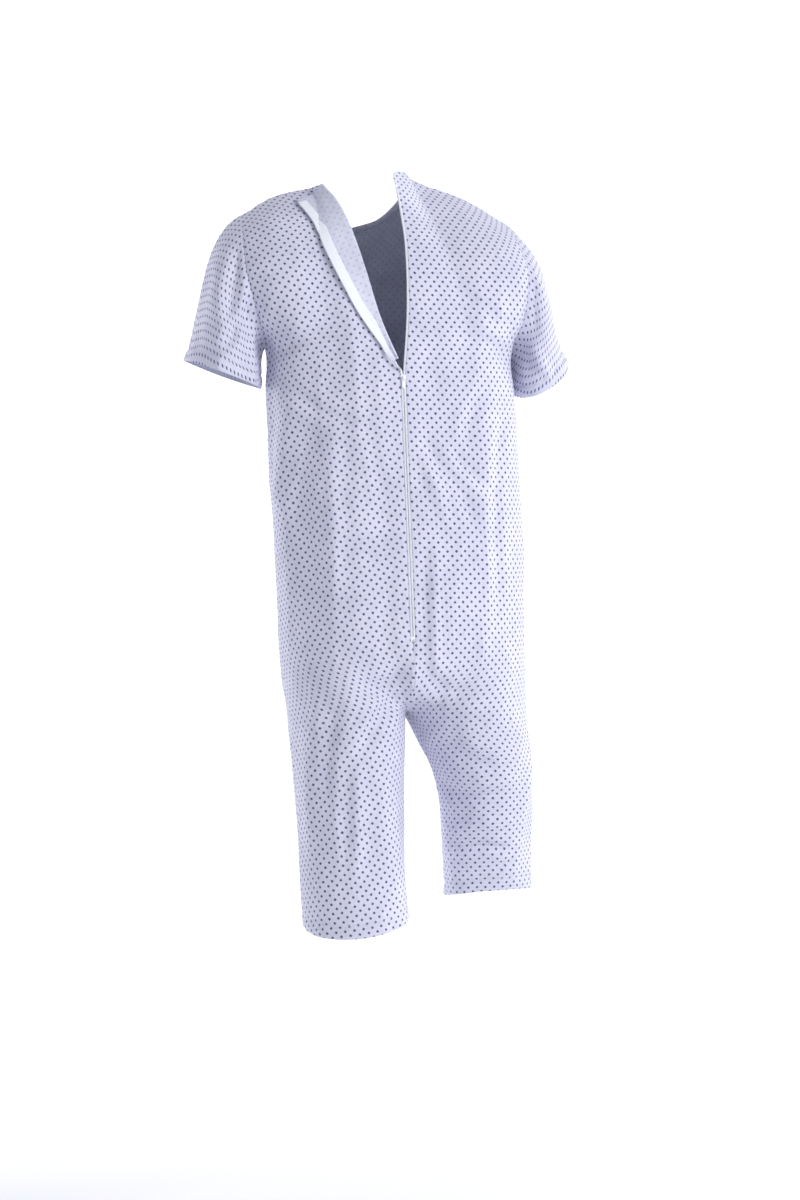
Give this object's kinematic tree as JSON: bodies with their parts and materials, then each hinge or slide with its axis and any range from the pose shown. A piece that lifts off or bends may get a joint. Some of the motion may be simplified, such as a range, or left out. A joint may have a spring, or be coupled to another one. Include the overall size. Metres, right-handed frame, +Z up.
{
  "type": "patient overall",
  "caption": "Short-sleeved one-piece patient garment with calf-length legs, worn with the zip down the back half open and one edge turned out as a lapel.",
  "frame": {"origin": "middle of the neck opening, level with its highest edge at the back", "axes": "+Z up the wearer, -Y the wearer's back (the zip side), +X the wearer's right"},
  "size_m": [0.6107, 0.2709, 1.1732],
  "materials": {
    "printed_cotton": "plain-woven pale blue cotton blend with small navy dots",
    "zip_tape": "woven white polyester tape",
    "zip_coil": "white nylon coil",
    "white_enamel": "white enamel on die-cast zinc",
    "sewing_thread": "spun polyester thread, overlocked"
  },
  "bodies": {
    "root": {"armhole_seam_left": "sewing_thread", "armhole_seam_right": "sewing_thread", "back_left": "printed_cotton", "back_right": "printed_cotton", "centre_back_seam": "sewing_thread", "centre_front_seam": "sewing_thread", "front_left": "printed_cotton", "front_right": "printed_cotton", "hem_stitch_leg_left": "sewing_thread", "hem_stitch_leg_right": "sewing_thread", "hem_stitch_sleeve_left": "sewing_thread", "hem_stitch_sleeve_right": "sewing_thread", "inseam_left": "sewing_thread", "inseam_right": "sewing_thread", "neck_binding": "printed_cotton", "shoulder_seam_left": "sewing_thread", "shoulder_seam_right": "sewing_thread", "side_seam_left": "sewing_thread", "side_seam_right": "sewing_thread", "sleeve_left": "printed_cotton", "sleeve_right": "printed_cotton", "zip_bottom_stop": "white_enamel", "zip_coil_left": "zip_coil", "zip_coil_right": "zip_coil", "zip_tape_left": "zip_tape", "zip_tape_right": "zip_tape", "zip_top_stop_left": "white_enamel", "zip_top_stop_right": "white_enamel"},
    "slider": {"zip_slider_body": "white_enamel"},
    "pull_tab": {"zip_pull_tab": "white_enamel"}
  },
  "joints": [
    {"name": "zip_slide", "type": "slide", "parent": "root", "child": "slider", "axis": [0.0313, -0.035, -0.9989], "range_m": [0, 0.384]},
    {"name": "pull_tab_swing", "type": "hinge", "parent": "slider", "child": "pull_tab", "pos_m": [0.04174, -0.12102, -0.3267], "axis": [-0.9995, -0.0011, -0.0313], "range_deg": [0, 165]}
  ]
}
